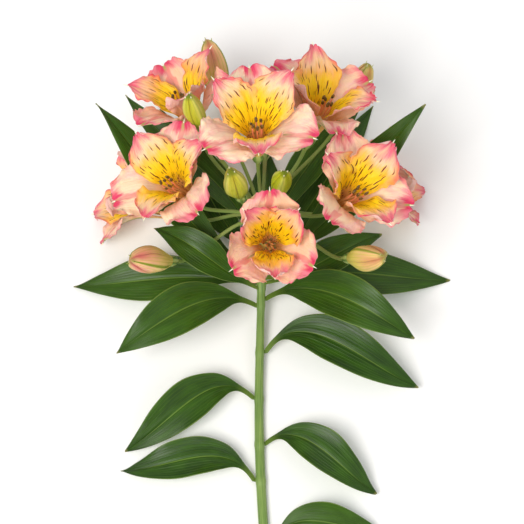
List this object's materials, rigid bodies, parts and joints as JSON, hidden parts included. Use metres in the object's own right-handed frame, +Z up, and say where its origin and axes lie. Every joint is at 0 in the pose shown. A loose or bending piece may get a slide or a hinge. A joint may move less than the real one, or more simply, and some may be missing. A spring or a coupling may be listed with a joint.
{
  "type": "alstroemeria stem",
  "caption": "Cut alstroemeria stem lying down: a leafy green stem that carries an umbel of pink, cream and yellow blooms and closed buds above a whorl of glossy leaves.",
  "frame": {"origin": "on the table, under the middle of the box of the whole lying stem", "axes": "+Y along the stem from the cut end to the blooms, +Z up from the table, +X to the right as seen from above with the blooms at the top"},
  "size_m": [0.2284, 0.4408, 0.1392],
  "materials": {
    "stem": "smooth satin green, soft fibrous plant stem",
    "outer_tepal": "soft matte petal, cream and peach with pink margins and a green rib on the back",
    "inner_tepal": "soft matte petal, golden yellow with dark red-brown dashes and a pink tip",
    "stamen": "satin peach filaments with grey-brown anthers",
    "bud": "smooth satin, cream yellow with green ribs and a pink flush",
    "leaf": "glossy dark green with fine parallel veins and a thin pale edge"
  },
  "bodies": {
    "root": {"stem": "stem", "bloom_1_outer_tepals": "outer_tepal", "bloom_1_inner_tepals": "inner_tepal", "bloom_1_stamens": "stamen", "bloom_2_outer_tepals": "outer_tepal", "bloom_2_inner_tepals": "inner_tepal", "bloom_2_stamens": "stamen", "bloom_3_outer_tepals": "outer_tepal", "bloom_3_inner_tepals": "inner_tepal", "bloom_3_stamens": "stamen", "bloom_4_outer_tepals": "outer_tepal", "bloom_4_inner_tepals": "inner_tepal", "bloom_4_stamens": "stamen", "bloom_5_outer_tepals": "outer_tepal", "bloom_5_inner_tepals": "inner_tepal", "bloom_5_stamens": "stamen", "bloom_6_outer_tepals": "outer_tepal", "bloom_6_inner_tepals": "inner_tepal", "bloom_6_stamens": "stamen", "bloom_7_outer_tepals": "outer_tepal", "bloom_7_inner_tepals": "inner_tepal", "bloom_7_stamens": "stamen", "bloom_8_outer_tepals": "outer_tepal", "bloom_8_inner_tepals": "inner_tepal", "bloom_8_stamens": "stamen", "bloom_9_outer_tepals": "outer_tepal", "bloom_9_inner_tepals": "inner_tepal", "bloom_9_stamens": "stamen", "bud_1": "bud", "bud_2": "bud", "bud_3": "bud", "bud_4": "bud", "bud_5": "bud", "bud_6": "bud", "bud_7": "bud", "leaf_whorl_1": "leaf", "leaf_whorl_2": "leaf", "leaf_whorl_3": "leaf", "leaf_whorl_4": "leaf", "leaf_whorl_5": "leaf", "leaf_whorl_6": "leaf", "leaf_whorl_7": "leaf", "leaf_whorl_8": "leaf", "leaf_whorl_9": "leaf", "leaf_whorl_10": "leaf", "leaf_whorl_11": "leaf", "leaf_whorl_12": "leaf", "leaf_whorl_13": "leaf", "leaf_stem_1": "leaf", "leaf_stem_2": "leaf", "leaf_stem_3": "leaf", "leaf_stem_4": "leaf", "leaf_stem_5": "leaf", "leaf_stem_6": "leaf"}
  },
  "joints": []
}
